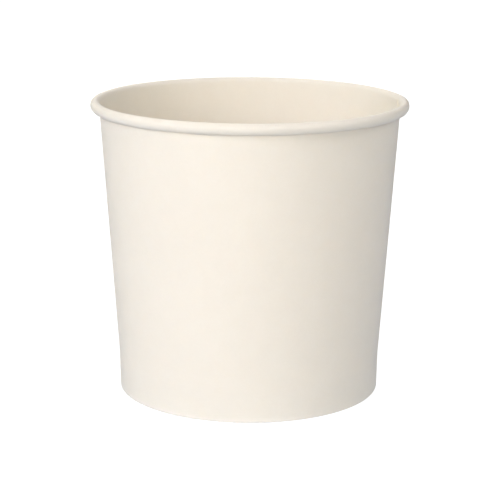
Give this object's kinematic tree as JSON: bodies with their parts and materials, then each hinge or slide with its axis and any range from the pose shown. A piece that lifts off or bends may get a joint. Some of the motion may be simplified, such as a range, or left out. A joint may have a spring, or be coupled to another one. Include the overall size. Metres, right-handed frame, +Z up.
{
  "type": "paper soup cup",
  "caption": "Round open-topped paperboard tub with a rolled rim, tapered wall, upright foot band and recessed bottom, for hot soup or other takeaway food.",
  "frame": {"origin": "centre of the foot, on the surface the cup stands on", "axes": "+Z up along the cup's axis; the side seam's outer edge is 14 degrees from +X towards +Y"},
  "size_m": [0.115, 0.115, 0.107],
  "materials": {
    "wall_board": "matte cream coated board",
    "bottom_board": "matte cream coated board"
  },
  "bodies": {
    "root": {"sidewall": "wall_board", "bottom_disc": "bottom_board"}
  },
  "joints": []
}
